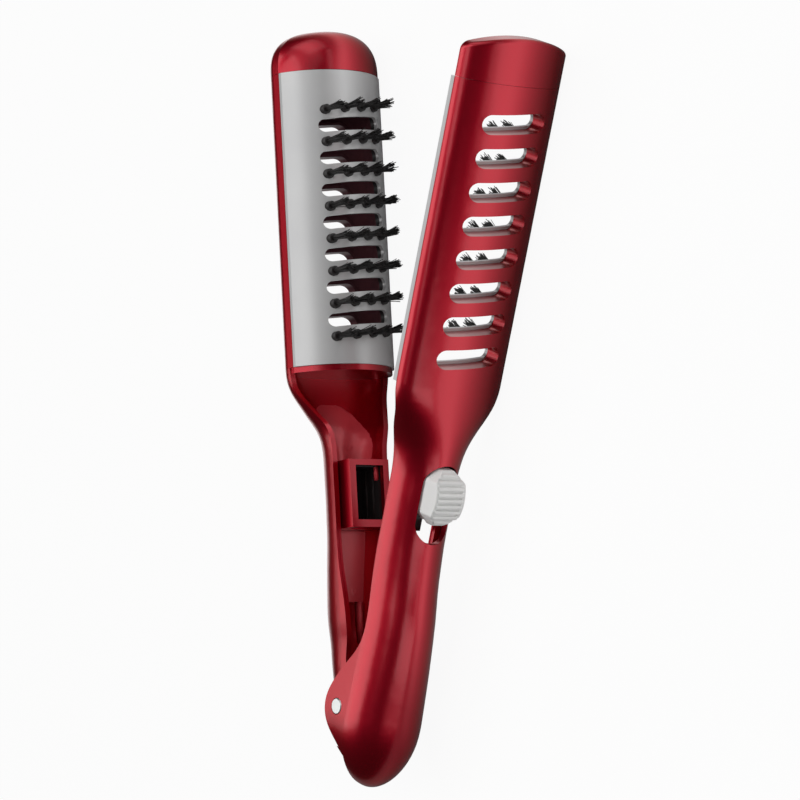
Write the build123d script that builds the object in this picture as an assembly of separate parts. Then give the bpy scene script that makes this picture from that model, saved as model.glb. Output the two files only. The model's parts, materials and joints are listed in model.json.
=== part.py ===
"""Hinged straightening brush: two vented arms, interleaved bristle rows, spring hinge and slide lock.

Each arm is drawn closed, in its own arm frame: X runs from the hinge axis towards the tip, Z is the
hinge axis, and "height" is the distance outwards from the hinge plane, drawn along -Y.
The base arm is then mirrored to +Y, both are swung open about the hinge, and the whole brush is set
down on its side with the origin at the middle of its footprint.
"""
from build123d import *
from math import cos, radians, sin, sqrt, tan
import os

os.makedirs("parts", exist_ok=True)

# ---- driving dimensions, mm ----
open_angle = 23.4          # between the arms when the spring holds them open
wall = 2.0                 # moulded shell wall
parting = 2.25             # height of the handle's parting line, measured on the cover side
rim_gap = 0.2              # each handle rim stays this far from the parting line

head_start = 117.4         # distance from hinge axis to the lower end of the plates
head_end = 220.9           # to the seam of the tip caps
tip_end = 236.6            # to the tip
cover_corner_end = 232.2   # the cover's tip is a shallow arc: this far at its corners
cap_edge = 1.6             # rounding between the cover cap's end and its back
cap_fullness = 2.8         # power of the base cap's dome, 2 is a half ellipse
cap_middle = 4.2           # height that the base cap closes on

row_pitch = 11.4           # bristle row to bristle row
first_row = 207.8          # base row nearest to the tip
base_rows = 8
cover_rows = 7
row_slant = 5.85           # rows and slots lean by this many degrees
tuft_spots = (-10.2, -3.4, 3.4, 10.2)
tuft_length = 10.4
tuft_fan = 7.0             # outermost tufts lean outwards by this many degrees
boss_radius = 1.65
cover_boss_radius = 1.2    # leaves room for the cover's collars
boss_height = 1.2
tuft_radius = 1.05

slot_length = 25.3
shell_slot_width = 6.6
plate_slot_width = 4.6
collar_wall = 1.1
cover_collar_wall = 0.6    # the cover's collars are thinner and run down to its plate
entry_shift = 0.5          # the cover's slots sit this much further out, for the closing arc

base_half_width = 21.0
base_rim = 5.5             # head: height where the base shell meets its plate
base_plate_radius = 23.4
base_plate_crown = -8.8    # the base plate bulges past the hinge plane
plate_thickness = 1.3

cover_half_width = 21.0
cover_rim = 8.1
cover_plate_crown = 10.3   # middle of the cover plate's hollow face
cover_plate_edge = 6.15
head_shoulder = 8.6
head_crown = 18.64

pin_radius = 1.5
pin_head_radius = 2.85
pin_head = 0.9
pin_shoulder = 13.2        # from the middle to the underside of each pin head
pin_play = 0.06            # running clearance in the base's knuckles
ear_radius = 6.8
knuckle_radius = 6.0
knuckle_inner, knuckle_outer = 4.4, 10.3
spring_wire = 0.5
spring_radius = 3.3
spring_pitch = 1.25
spring_turns = 5
base_leg_angle = 31.0      # each leg, measured from the line midway between the arms
cover_leg_angle = 23.7
leg_reach = 23.0

window_length = 27.6
window_width = 13.6
window_middle = 77.1
button_length = 19.6
button_width = 12.7
button_middle = 80.0
button_top = 22.3
button_arch = 4.6
button_ribs = 9
button_corner = 3.9        # cut off each corner of the button, seen from above
button_draft = 2.5         # its flanks lean by this many degrees
button_margin = 0.9        # smooth border beside the ribs

tower_low, tower_high = 60.9, 84.4   # catch box along the arm
tower_top = -7.3                     # it reaches past the parting line into the cover
tower_half_width = 8.2
tower_hole_half = 5.8

# section stations along each handle: (distance, half width, shoulder height, crown height)
cover_stations = [
    (-4, 14.0, 6.0, 22.7),
    (14, 13.3, 5.5, 22.4),
    (32, 12.3, 5.0, 21.3),
    (50, 11.7, 3.2, 18.8),
    (66, 11.6, 2.8, 17.45),
    (86, 11.7, 2.8, 17.35),
    (95, 13.0, 4.0, 17.6),
    (103, 16.4, 6.4, 18.1),
    (110, 19.6, 8.2, 18.5),
    (head_start, cover_half_width, head_shoulder, head_crown),
]
base_stations = [
    (2, 10.4, 1.0, 13.4),
    (12, 10.4, 1.0, 14.2),
    (20, 10.5, 0.0, 15.0),
    (31, 11.7, -2.0, 15.6),
    (46, 11.8, -2.0, 14.3),
    (60, 11.6, -2.0, 12.8),
    (74, 11.6, -2.0, 12.4),
    (88, 11.7, -1.6, 12.5),
    (96, 13.2, 1.0, 13.7),
    (103, 16.6, 5.0, 16.2),
    (110, 19.8, 8.0, 18.1),
    (head_start, base_half_width, head_shoulder, head_crown),
]
cover_tail = -26.6         # the cover runs past the hinge to here
base_heel = -12.6          # and the base to here, inside the cover's ears
tail_power = 1.85          # fullness of the rounded tails, 2 is a half ellipse
cover_tail_middle = 7.4    # height that the cover's tail closes on
skirt = -12.0              # sides of the sections run down to here before they are trimmed
reach = 40.0               # longer than any section, for cutters

side = Plane(origin=(0, 0, 0), x_dir=(1, 0, 0), z_dir=(0, 0, -1))   # distance along, height outwards


def across(distance):
    """Section plane at a distance from the hinge: local x is Z, local y is the height."""
    return Plane(origin=(distance, 0, 0), x_dir=(0, 0, 1), z_dir=(1, 0, 0))


def facing(distance, height=0.0):
    """Plane that looks outwards at a row or slot, with its local x along the slanted row."""
    lean = tan(radians(row_slant))
    return Plane(origin=(distance, -height, 0), x_dir=(-lean, 0, 1), z_dir=(0, -1, 0))


def d_section(distance, half_width, low, shoulder, crown):
    """Straight sides from low to shoulder under a half ellipse that reaches the crown."""
    arch = EllipticalCenterArc((0, shoulder), half_width, crown - shoulder, 0, arc_size=180)
    sides = Polyline((-half_width, shoulder), (-half_width, low),
                     (half_width, low), (half_width, shoulder))
    return across(distance) * make_face([arch, sides])


def dome_factor(t, power):
    return (1 - t ** power) ** (1 / power)


def tail_stations(first, end, middle):
    """Stations that round off the end of an arm, from its first station out to end."""
    distance, half_width, shoulder, crown = first
    stations = []
    for t in (0.996, 0.965, 0.9, 0.8, 0.66, 0.48, 0.26):
        f = dome_factor(t, tail_power)
        stations.append((
            distance + t * (end - distance),
            half_width * f,
            middle + (shoulder - middle) * f,
            middle + (crown - middle) * f,
        ))
    return stations


def slope(stations, k, column):
    """Slope that keeps the curve through the stations free of bumps."""
    if k in (0, len(stations) - 1):
        return 0 if column else 1
    before, here, after = stations[k - 1], stations[k], stations[k + 1]
    left = (here[column] - before[column]) / (here[0] - before[0])
    right = (after[column] - here[column]) / (after[0] - here[0])
    return 2 * left * right / (left + right) if left * right > 0 else 0


def filled_in(stations, pace=6.0):
    """Stations about one pace apart, on smooth curves through the given ones."""
    dense = []
    for k in range(len(stations) - 1):
        a, b = stations[k], stations[k + 1]
        gap = b[0] - a[0]
        count = max(1, round(gap / pace))
        for t in [j / count for j in range(count)]:
            start, rise = 2 * t ** 3 - 3 * t ** 2 + 1, t ** 3 - 2 * t ** 2 + t
            dense.append(tuple(
                start * a[i] + (1 - start) * b[i]
                + gap * (rise * slope(stations, k, i) + (t ** 3 - t ** 2) * slope(stations, k + 1, i))
                for i in range(4)
            ))
    return dense + [stations[-1]]


def arm_skin(stations, end, middle, inset=0.0):
    """Solid through the stations with a rounded tail, inset from the outer surface.

    It runs a little way into the head with an even section, to meet it without a kink.
    """
    body = [(d, w - inset, min(s, c - inset - 0.5), c - inset) for d, w, s, c in filled_in(stations)]
    tail = tail_stations(body[0], end + inset, middle)
    run_on = [(head_start + step, *body[-1][1:]) for step in (3, 6, 9)]
    return loft([d_section(d, w, skirt, s, c) for d, w, s, c in tail + body + run_on])


def arc_height(v, edge, crown, half):
    """Height of a shallow arc that passes edge at the half width and crown in the middle."""
    rise = crown - edge
    radius = (half ** 2 + rise ** 2) / (2 * abs(rise))
    drop = radius - sqrt(radius ** 2 - v ** 2)
    return crown - drop if rise > 0 else crown + drop


def base_plate_height(v):
    return base_plate_crown + base_plate_radius - sqrt(base_plate_radius ** 2 - v ** 2)


def cover_plate_height(v):
    return arc_height(v, cover_plate_edge, cover_plate_crown, cover_half_width)


def row_places(rows, offset):
    """Distance of each row or slot from the hinge."""
    return [first_row - (k + offset) * row_pitch for k in range(rows)]


base_row_places = row_places(base_rows, 0.0)
cover_row_places = row_places(cover_rows, 0.5)
cover_slot_places = [d + entry_shift for d in base_row_places]
base_slot_places = cover_row_places


# ---- side outlines: (distance, height) curves that trim the skins ----
def cover_rim_line(drop=0.0):
    """Rim of the cover handle with its ear around the pin; drop lowers it for clearance."""
    ear = ear_radius + drop
    low = parting + rim_gap - drop
    return Spline(
        (60, low),
        (45, low + 1.2),
        (33, low + 2.9),
        (24, low + 2.2),
        (15.5, -0.2 - drop),
        (8.5, -4.4 - drop),
        (0, -ear),
        (-6.5, -4.4 - drop),
        (-11, 0.4 - drop),
        (-16, 5.6 - drop),
        (-30, 6.4 - drop),
        tangents=((-1, 0), (-1, 0)),
    )


def cover_keep():
    """Everything above the cover's rim, from tail to cap seam."""
    rim = cover_rim_line()
    neck = Spline((112, cover_rim), (103, 4.8), (94, parting + rim_gap), tangents=((-1, 0), (-1, 0)))
    flat = Line((94, parting + rim_gap), (60, parting + rim_gap))
    frame = Polyline((-30, 6.4), (-30, reach), (head_start, reach),
                     (head_start, cover_rim), (112, cover_rim))
    return extrude(side * make_face([frame, neck, flat, rim]), amount=reach, both=True)


def base_keep():
    """Everything above the base's rim; between the cover's ears the rim is level."""
    low = -(parting - rim_gap)
    neck = Spline((113, base_rim + 2.0), (104.5, 4.2), (99, 0.3), (92, low), tangents=((-1, 0), (-1, 0)))
    flat = Line((92, low), (60, low))
    swell = Spline((60, low), (45, low - 1.2), (33, low - 2.9), (24, low - 2.0), (14, low),
                   tangents=((-1, 0), (-1, 0)))
    frame = Polyline((14, low), (-30, low), (-30, reach), (head_start, reach),
                     (head_start, base_rim + 2.0), (113, base_rim + 2.0))
    return extrude(side * make_face([frame, neck, flat, swell]), amount=reach, both=True)


def cover_clearance():
    """The cover's ears and side walls with room round them, to cut from the base's flanks."""
    frame = Polyline((-30, 6.4 - 0.5), (-30, reach), (60, reach), (60, parting + rim_gap - 0.5))
    region = extrude(side * make_face([frame, cover_rim_line(0.5)]), amount=reach, both=True)
    middle = Box(200, 200, 2 * (knuckle_outer + 0.35))
    return region - middle


# ---- head profiles, local x across the arm, local y the height ----
def arch_profile(half_width, low, shoulder, crown):
    arch = EllipticalCenterArc((0, shoulder), half_width, crown - shoulder, 0, arc_size=180)
    sides = Polyline((-half_width, shoulder), (-half_width, low),
                     (half_width, low), (half_width, shoulder))
    return make_face([arch, sides])


def below_arc(edge, crown, half_width):
    """Everything under a shallow arc across the head."""
    arc = ThreePointArc((-half_width, edge), (0, crown), (half_width, edge))
    far = half_width + 5
    under = Polyline((half_width, edge), (far, edge), (far, skirt),
                     (-far, skirt), (-far, edge), (-half_width, edge))
    return make_face([arc, under])


def between(start, end, profile):
    """Profile carried along the arm from start to end."""
    return extrude(across(start) * profile, amount=end - start)


def base_outline(inset=0.0, factor=1.0, middle=cap_middle):
    """Whole section of the base head: convex plate side, short flanks, arched back."""
    w = (base_half_width - inset) * factor
    front = middle + (base_plate_crown + inset - middle) * factor
    corner = middle + (base_rim - middle) * factor
    shoulder = middle + (head_shoulder - middle) * factor
    crown = middle + (head_crown - inset - middle) * factor
    arch = EllipticalCenterArc((0, shoulder), w, crown - shoulder, 0, arc_size=180)
    left = Line((-w, shoulder), (-w, corner))
    bulge = ThreePointArc((-w, corner), (0, front), (w, corner))
    right = Line((w, corner), (w, shoulder))
    return make_face([arch, left, bulge, right])


def slots(places, width, length=slot_length, low=-reach, high=reach):
    """Slanted obround bars through the head, one at each place."""
    shape = SlotOverall(length, width)
    return [extrude(facing(d, low) * shape, amount=high - low) for d in places]


def tuft_points(places):
    lean = tan(radians(row_slant))
    return [[(d - lean * v, v) for v in tuft_spots] for d in places]


# ---- plates, carriers and tufts, shared by both arms ----
def pierced_plate(blank, slot_places, rows, height_at, radius):
    """Plate with its slots, and a hole for the boss of every tuft."""
    holes = []
    for row in tuft_points(rows):
        for d, v in row:
            holes.append(upright(d, v, height_at(v) - 4, height_at(v) + 4, radius + 0.1))
    return blank - slots(slot_places, plate_slot_width) - holes


def upright(distance, v, low, high, radius):
    """Cylinder along the height direction."""
    foot = Plane(origin=(distance, -low, v), x_dir=(0, 0, 1), z_dir=(0, -1, 0))
    return extrude(foot * Circle(radius), amount=high - low)


def bristle_carrier(sheet, slot_places, margin, rows, height_at, radius):
    """Slotted strip behind a plate, with a boss through the plate at every tuft."""
    ladder = sheet - slots(slot_places, shell_slot_width + margin, slot_length + margin)
    bosses = []
    for row in tuft_points(rows):
        for d, v in row:
            tip = height_at(v) - boss_height
            bosses.append(upright(d, v, tip, height_at(v) + plate_thickness + 1.0, radius))
    return ladder + bosses


def tuft_row(row, height_at):
    """One row of bristle tufts, each a flared six-sided bundle."""
    tufts = []
    for d, v in row:
        lean = radians(tuft_fan) * v / max(tuft_spots)
        root = Vector(d, boss_height + 0.15 - height_at(v), v)
        reach_out = tuft_length - boss_height - 0.15
        aim = Vector(0, cos(lean), sin(lean))
        foot = Plane(origin=root, x_dir=(1, 0, 0), z_dir=aim)
        tip = Plane(origin=root + aim * reach_out, x_dir=(1, 0, 0), z_dir=aim)
        ends = [foot * RegularPolygon(tuft_radius - 0.15, 6), tip * RegularPolygon(tuft_radius, 6)]
        tufts.append(loft(ends))
    return Compound(children=tufts)


# ---- cover arm ----
def make_cover_shell():
    outer = arm_skin(cover_stations, cover_tail, cover_tail_middle)
    inner = arm_skin(cover_stations, cover_tail, cover_tail_middle, wall)
    handle = (outer - inner) & cover_keep()

    # tail floor, which closes the channel behind the base's heel
    floor_line = [(-13.6, 2.4), (-16, 5.6), (-30, 6.4), (-30, 8.4), (-15.5, 7.6), (-13.6, 5.0)]
    floor = extrude(side * make_face(Polyline(*floor_line, close=True)), amount=reach, both=True)
    handle += floor & outer

    # head: arched skin, with a collar round every slot that runs down to the plate
    skin = arch_profile(cover_half_width, cover_rim - 2, head_shoulder, head_crown)
    solid_head = between(head_start, head_end, skin)
    hollow = between(head_start, head_end, arch_profile(
        cover_half_width - wall, cover_rim - 2, head_shoulder, head_crown - wall))
    margin = 2 * cover_collar_wall
    collars = slots(cover_slot_places, shell_slot_width + margin, slot_length + margin, 7.0)
    head = (solid_head - hollow) + [collar & solid_head for collar in collars]
    bulkhead = between(head_start - wall, head_start, arch_profile(
        cover_half_width - 0.6, cover_rim - 2, head_shoulder, head_crown - 0.6))
    shell = handle + head + (bulkhead & outer)
    seat_edge, seat_crown = cover_plate_seat(0.05)
    shell -= between(head_start - wall, head_end + 1, below_arc(seat_edge, seat_crown, cover_half_width))
    shell -= slots(cover_slot_places, shell_slot_width)

    # lock window, with ledges that carry the slider
    for s in (-1, 1):
        shell += Pos(window_middle, -8.5, s * 8.2) * Box(36, 1.2, 4.0) & outer
    window = Plane(origin=(window_middle, -9.2, 0), x_dir=(1, 0, 0), z_dir=(0, -1, 0))
    shell -= extrude(window * SlotOverall(window_length, window_width), amount=14.0)

    # spring rest, opening stop and pin bosses
    shell += Pos(22.5, -15.5, 0) * Box(4.0, 13.4, 5.0) & outer
    shell += Pos(-9.0, -15.2, 0) * Box(2.0, 16.0, 12.0) & outer
    for s in (-1, 1):
        shell += Pos(0, 0, s * 11.7) * Cylinder(4.6, 1.9)
        shell -= Pos(0, 0, s * (pin_shoulder + 2)) * Cylinder(pin_head_radius + 0.05, 4)
    shell -= Cylinder(pin_radius, 4 * pin_shoulder)
    return shell


def cover_plate_seat(clearance=0.0):
    """Edge and crown heights of the cover plate's upper face."""
    return cover_rim - 0.05 + clearance, cover_plate_crown + plate_thickness + clearance


def make_cover_plate():
    edge, crown = cover_plate_seat()
    w = cover_half_width
    low_arc = ThreePointArc((-w, cover_plate_edge), (0, cover_plate_crown), (w, cover_plate_edge))
    high_arc = ThreePointArc((-w, edge), (0, crown), (w, edge))
    ends = [Line((w, cover_plate_edge), (w, edge)), Line((-w, cover_plate_edge), (-w, edge))]
    blank = between(head_start + 0.05, head_end - 0.05, make_face([low_arc, high_arc] + ends))
    return pierced_plate(blank, cover_slot_places, cover_row_places, cover_plate_height, cover_boss_radius)


def make_cover_carrier():
    edge, crown = cover_plate_seat(0.05)
    w = cover_half_width
    band = below_arc(edge + 1.7, crown + 1.7, w) - below_arc(edge, crown, w)
    first, last = cover_slot_places[0] + 5.0, cover_slot_places[-1] - 5.0
    sheet = between(last, first, band) & Pos(160, 0, 0) * Box(200, 100, 33.0)
    margin = 2 * cover_collar_wall + 0.1
    return bristle_carrier(sheet, cover_slot_places, margin, cover_row_places,
                           cover_plate_height, cover_boss_radius)


def make_cover_cap():
    """Tip cut to a shallow arc in plan, with soft corners and edge, on a spigot."""
    start = head_end + 0.1
    w = cover_half_width
    body = between(start, tip_end + 5, arch_profile(w, cover_rim - 2, head_shoulder, head_crown))
    body -= between(start - 1, tip_end + 6, below_arc(cover_rim, cover_plate_crown + plate_thickness, w))
    tip_arc = ThreePointArc((cover_corner_end, -w), (tip_end, 0), (cover_corner_end, w))
    back = Polyline((cover_corner_end, w), (start - 9, w), (start - 9, -w), (cover_corner_end, -w))
    plan = make_face([tip_arc, back])
    plan = fillet([v for v in plan.vertices() if v.X > cover_corner_end - 1], 3.6)
    body &= extrude(Plane(origin=(0, 0, 0), x_dir=(1, 0, 0), z_dir=(0, -1, 0)) * plan, amount=reach)
    ends = [e for e in body.edges() if e.bounding_box().min.X > start + 5]
    outer_ends = [e for e in ends if e.center().Y < min(-9, abs(e.center().Z) / 4 - 12)]
    body = fillet(outer_ends, cap_edge)
    plug = arch_profile(w - wall - 0.1, 0, head_shoulder, head_crown - wall - 0.1)
    spigot = between(start - 4, start, plug)
    spigot -= Pos(start, -2.4, 0) * Box(20, 20, 60)
    return body + spigot


def make_lock_slider():
    """Plate on the ledges under the window, with the hook that catches the base's tower."""
    plate = Pos(84, -10.15, 0) * Box(27, 1.5, 13.8)
    stem = Pos(72.3, -5.95, 0) * Box(4.0, 7.1, 7.0)
    toe = Pos(67.35, -3.5, 0) * Box(6.1, 2.2, 7.0)
    return plate + stem + toe


def button_block(shrink, low, high, draft=0.0):
    """Upright block at the button's place, with its corners cut off and softened."""
    outline = Rectangle(button_length - shrink, button_width - shrink)
    outline = chamfer(outline.vertices(), button_corner)
    outline = fillet(outline.vertices(), 1.2)
    foot = Plane(origin=(button_middle, -low, 0), x_dir=(1, 0, 0), z_dir=(0, -1, 0))
    return extrude(foot * outline, amount=high - low, taper=draft)


def make_lock_button():
    """Arched thumb pad with smooth flanks and cross ribs, on a narrower stem in the window."""
    half = button_length / 2
    arch_radius = (half ** 2 + button_arch ** 2) / (2 * button_arch)
    dome = Pos(button_middle, -(button_top - arch_radius), 0) * Cylinder(arch_radius, 40)
    pad = button_block(0, 15.2, button_top, button_draft) & dome
    pitch = button_length / (button_ribs + 0.6)
    for k in range(button_ribs - 1):
        x = (k - (button_ribs - 2) / 2) * pitch
        height = button_top - arch_radius + sqrt(arch_radius ** 2 - x ** 2)
        reach_across = button_width - 2 * button_margin - 1.2
        pad -= Pos(button_middle + x, -height, 0) * Box(pitch * 0.36, 1.1, reach_across)
    stem = button_block(1.0, 10.95, 15.4)
    return pad + stem


# ---- base arm, drawn like the cover and mirrored afterwards ----
def make_base_shell():
    outer = arm_skin(base_stations, base_heel, 0.0)
    inner = arm_skin(base_stations, base_heel, 0.0, wall)
    handle = (outer - inner) & base_keep()

    skin = arch_profile(base_half_width, base_rim, head_shoulder, head_crown)
    solid_head = between(head_start, head_end, skin)
    hollow = between(head_start, head_end, arch_profile(
        base_half_width - wall, base_rim, head_shoulder, head_crown - wall))
    margin = 2 * collar_wall
    collars = slots(base_slot_places, shell_slot_width + margin, slot_length + margin, 13.0)
    head = (solid_head - hollow) + [collar & solid_head for collar in collars]
    bulkhead = between(head_start - wall, head_start, base_outline(0.4))
    shell = handle + head + bulkhead
    shell -= slots(base_slot_places, shell_slot_width)

    # catch tower: a frame that reaches into the cover, open under its lower bar for the hook's toe
    middle = (tower_low + tower_high) / 2
    length = tower_high - tower_low
    tower = Pos(middle, -(tower_top + 12) / 2, 0) * Box(length, 12 - tower_top, 2 * tower_half_width)
    pocket = Pos(middle + 0.4, -(tower_top + 1.6 + 8.5) / 2, 0) * Box(
        length - 3.4, 8.5 - tower_top - 1.6, 2 * tower_half_width - 3.2)
    mouth = Pos(middle + 0.25, -(tower_top + 1), 0) * Box(length - 4.6, 4, 2 * tower_hole_half)
    toe_gap = Pos(tower_low, -(tower_top + 5), 0) * Box(5, 6.8, 9.0)
    shell += (tower & outer) - pocket - mouth - toe_gap

    # knuckles on the pin, each on a web down to the floor
    for s in (-1, 1):
        z = s * (knuckle_inner + knuckle_outer) / 2
        width = knuckle_outer - knuckle_inner
        shell += Pos(0, 0, z) * Cylinder(knuckle_radius, width)
        shell += (Pos(0, -6.5, z) * Box(2 * knuckle_radius, 13, width)) & outer
    shell -= Cylinder(pin_radius + pin_play, 4 * pin_shoulder)
    shell -= mirror(cover_clearance(), about=Plane.XZ)
    return shell


def make_catch_insert():
    """Dark liner inside the catch tower."""
    middle = (tower_low + tower_high) / 2 + 0.4
    length = tower_high - tower_low - 3.6
    block = Pos(middle, -1.15, 0) * Box(length, 11.1, 2 * tower_half_width - 3.4)
    hollow = Pos(middle, -0.15, 0) * Box(length - 2, 11.3, 2 * tower_half_width - 5.4)
    toe_gap = Pos(tower_low, -(tower_top + 5), 0) * Box(8, 7.4, 9.4)
    return block - hollow - toe_gap


def make_base_plate():
    ring = Circle(base_plate_radius) - Circle(base_plate_radius - plate_thickness)
    centre = base_plate_crown + base_plate_radius
    ring = Pos(0, centre) * ring
    blank = between(head_start + 0.05, head_end - 0.05, ring)
    blank &= Pos(160, -(base_rim - 0.05) + 20, 0) * Box(200, 40, 2 * base_half_width - 0.2)
    return pierced_plate(blank, base_slot_places, base_row_places, base_plate_height, boss_radius)


def make_base_carrier():
    outer_radius = base_plate_radius - plate_thickness - 0.08
    band = Circle(outer_radius) - Circle(outer_radius - 1.7)
    first, last = base_row_places[0] + 4.0, base_row_places[-1] - 4.0
    sheet = between(last, first, Pos(0, base_plate_crown + base_plate_radius) * band)
    sheet &= Pos(160, 20, 0) * Box(200, 44.0, 33.0)
    return bristle_carrier(sheet, base_slot_places, 0.6, base_row_places,
                           base_plate_height, boss_radius)


def make_base_cap():
    """Thumb-shaped closed tip on a spigot."""
    start = head_end + 0.1
    length = tip_end - start
    sections = []
    for t in (0.0, 0.3, 0.55, 0.75, 0.88, 0.95, 0.985, 0.998):
        sections.append(across(start + t * length) * base_outline(0.0, dome_factor(t, cap_fullness)))
    dome = loft(sections)
    plug = arch_profile(base_half_width - wall - 0.1, 4.2, head_shoulder, head_crown - wall - 0.1)
    spigot = between(start - 4, start, plug)
    return dome + spigot


# ---- hinge ----
def make_hinge_pin():
    pin = Cylinder(pin_radius, 2 * pin_shoulder)
    for s in (-1, 1):
        head = Pos(0, 0, s * (pin_shoulder + pin_head / 2)) * Cylinder(pin_head_radius, pin_head)
        face = head.faces().sort_by(Axis.Z)[-1 if s > 0 else 0]
        pin += chamfer(face.edges(), 0.35)
    return pin


def make_torsion_spring():
    """Coil round the pin; one leg lies on the base's floor, the other under the cover's rest."""
    turns = spring_turns - (180 + base_leg_angle + cover_leg_angle) / 360
    path = Pos(0, 0, -spring_pitch * turns / 2) * Helix(spring_pitch, spring_pitch * turns, spring_radius)
    path = path.rotate(Axis.Z, 90 + base_leg_angle)
    coil = sweep(Plane(origin=path @ 0, z_dir=path % 0) * RegularPolygon(spring_wire, 6), path)
    base_leg = extrude(Plane(origin=path @ 0, z_dir=-(path % 0)) * Circle(spring_wire), amount=leg_reach)
    cover_leg = extrude(Plane(origin=path @ 1, z_dir=path % 1) * Circle(spring_wire), amount=leg_reach)
    return coil + base_leg + cover_leg


# ---- assembly ----
def on_cover(shape):
    return shape.rotate(Axis.Z, -open_angle / 2)


def on_base(shape):
    return mirror(shape, about=Plane.XZ).rotate(Axis.Z, open_angle / 2)


def build():
    nodes = {
        "base_shell": on_base(make_base_shell()),
        "base_cap": on_base(make_base_cap()),
        "base_plate": on_base(make_base_plate()),
        "base_bristle_carrier": on_base(make_base_carrier()),
        "catch_insert": on_base(make_catch_insert()),
        "torsion_spring": make_torsion_spring(),
        "cover_shell": on_cover(make_cover_shell()),
        "cover_cap": on_cover(make_cover_cap()),
        "cover_plate": on_cover(make_cover_plate()),
        "cover_bristle_carrier": on_cover(make_cover_carrier()),
        "hinge_pin": on_cover(make_hinge_pin()),
        "lock_button": on_cover(make_lock_button()),
        "lock_slider": on_cover(make_lock_slider()),
    }
    for k, row in enumerate(tuft_points(base_row_places), start=1):
        nodes[f"base_tufts_{k}"] = on_base(tuft_row(row, base_plate_height))
    for k, row in enumerate(tuft_points(cover_row_places), start=1):
        nodes[f"cover_tufts_{k}"] = on_cover(tuft_row(row, cover_plate_height))
    return nodes


nodes = build()
box = Compound(children=[Compound(list(n.solids())) for n in nodes.values()]).bounding_box()
shift = Vector(-(box.min.X + box.max.X) / 2, -(box.min.Y + box.max.Y) / 2, -box.min.Z)
for name, shape in nodes.items():
    export_step(Pos(*shift) * shape, f"parts/{name}.step")
print("hinge axis at", shift.X, shift.Y, "height", shift.Z)
print("size", box.size)
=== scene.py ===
import json
import math

import bpy
import bmesh
from mathutils import Matrix, Vector
from mathutils.bvhtree import BVHTree


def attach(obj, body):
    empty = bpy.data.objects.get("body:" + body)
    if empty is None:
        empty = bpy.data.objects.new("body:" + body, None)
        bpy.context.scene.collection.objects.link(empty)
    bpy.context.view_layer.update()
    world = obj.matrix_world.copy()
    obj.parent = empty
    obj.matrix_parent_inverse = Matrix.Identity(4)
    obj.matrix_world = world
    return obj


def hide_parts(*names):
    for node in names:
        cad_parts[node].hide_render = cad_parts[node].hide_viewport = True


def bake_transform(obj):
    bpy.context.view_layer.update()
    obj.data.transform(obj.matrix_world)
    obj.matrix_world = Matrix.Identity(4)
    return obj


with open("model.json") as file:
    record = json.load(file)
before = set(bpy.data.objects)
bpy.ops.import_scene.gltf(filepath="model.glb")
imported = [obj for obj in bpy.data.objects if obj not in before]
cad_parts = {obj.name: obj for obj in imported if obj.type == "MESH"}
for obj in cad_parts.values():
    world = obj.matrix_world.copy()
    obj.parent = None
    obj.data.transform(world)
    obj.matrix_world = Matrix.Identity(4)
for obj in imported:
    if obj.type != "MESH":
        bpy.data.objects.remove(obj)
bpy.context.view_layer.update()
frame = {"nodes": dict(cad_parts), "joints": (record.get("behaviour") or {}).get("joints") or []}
cadNodes = frame["nodes"]
print("frame loaded with", len(cadNodes), "nodes")

mm = 0.001
plainWhite = (1, 1, 1, 1)
creaseAngle = math.radians(50)     # edges sharper than this stay sharp
mergeGap = 0.001 * mm
hinge = next(joint for joint in frame["joints"] if joint["name"] == "cover_hinge")
hingePoint = Vector(hinge["pos_m"])
halfOpen = math.radians(hinge["range_deg"][1] / 2)
scene = bpy.context.scene
scene.view_settings.view_transform = "Standard"


# an arm's own axes: along it from the hinge, height outwards from the hinge plane, across it
def armDirection(arm, along, height, across):
    side = 1 if arm == "base_arm" else -1
    c, s = math.cos(halfOpen), math.sin(halfOpen)
    return Vector((along * c - height * s, side * (along * s + height * c), across))


# a place in millimetres on those axes
def armPoint(arm, along, height, across):
    return hingePoint + armDirection(arm, along, height, across) * mm


def addObject(name, mesh):
    thing = bpy.data.objects.new(name, mesh)
    scene.collection.objects.link(thing)
    return thing


# a smooth object of one material with its creases kept, made from a form that is then freed
def formObject(name, form, material, crease=creaseAngle):
    for face in form.faces:
        face.smooth = True
    for edge in form.edges:
        edge.smooth = edge.calc_face_angle(0) < crease
    mesh = bpy.data.meshes.new(name)
    form.to_mesh(mesh)
    form.free()
    mesh.materials.append(material)
    return addObject(name, mesh)


# a node with its settings; each input is linked from a socket or set to a value
def addNode(tree, kind, inputs, **settings):
    node = tree.nodes.new(kind)
    for name, value in settings.items():
        setattr(node, name, value)
    for name, source in inputs.items():
        if isinstance(source, bpy.types.NodeSocket):
            tree.links.new(source, node.inputs[name])
        else:
            node.inputs[name].default_value = source
    return node


def addMath(tree, operation, *sources):
    node = addNode(tree, "ShaderNodeMath", dict(enumerate(sources)), operation=operation)
    return node.outputs["Value"]


def addVectorMath(tree, operation, *sources, output="Vector"):
    node = addNode(tree, "ShaderNodeVectorMath", dict(enumerate(sources)), operation=operation)
    return node.outputs[output]


def addScaled(tree, vector, factor):
    inputs = {0: vector, "Scale": factor}
    return addNode(tree, "ShaderNodeVectorMath", inputs, operation="SCALE").outputs["Vector"]


# the camera, by what it looks at and which way it stands from there
cameraAim = {
    "distance": 1.2678,
    "pixelsPerMetre": 2910.0,
    "halfPicture": 400.0,
    "right": 10.48 * mm,           # what it looks at, from the hinge
    "up": 104.94 * mm,
    "towards": (-0.12323, -0.79838, 0.58942),
    "pictureUp": (0.99094, -0.13092, 0.02984),
    "clipStart": 0.05,
}


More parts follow.
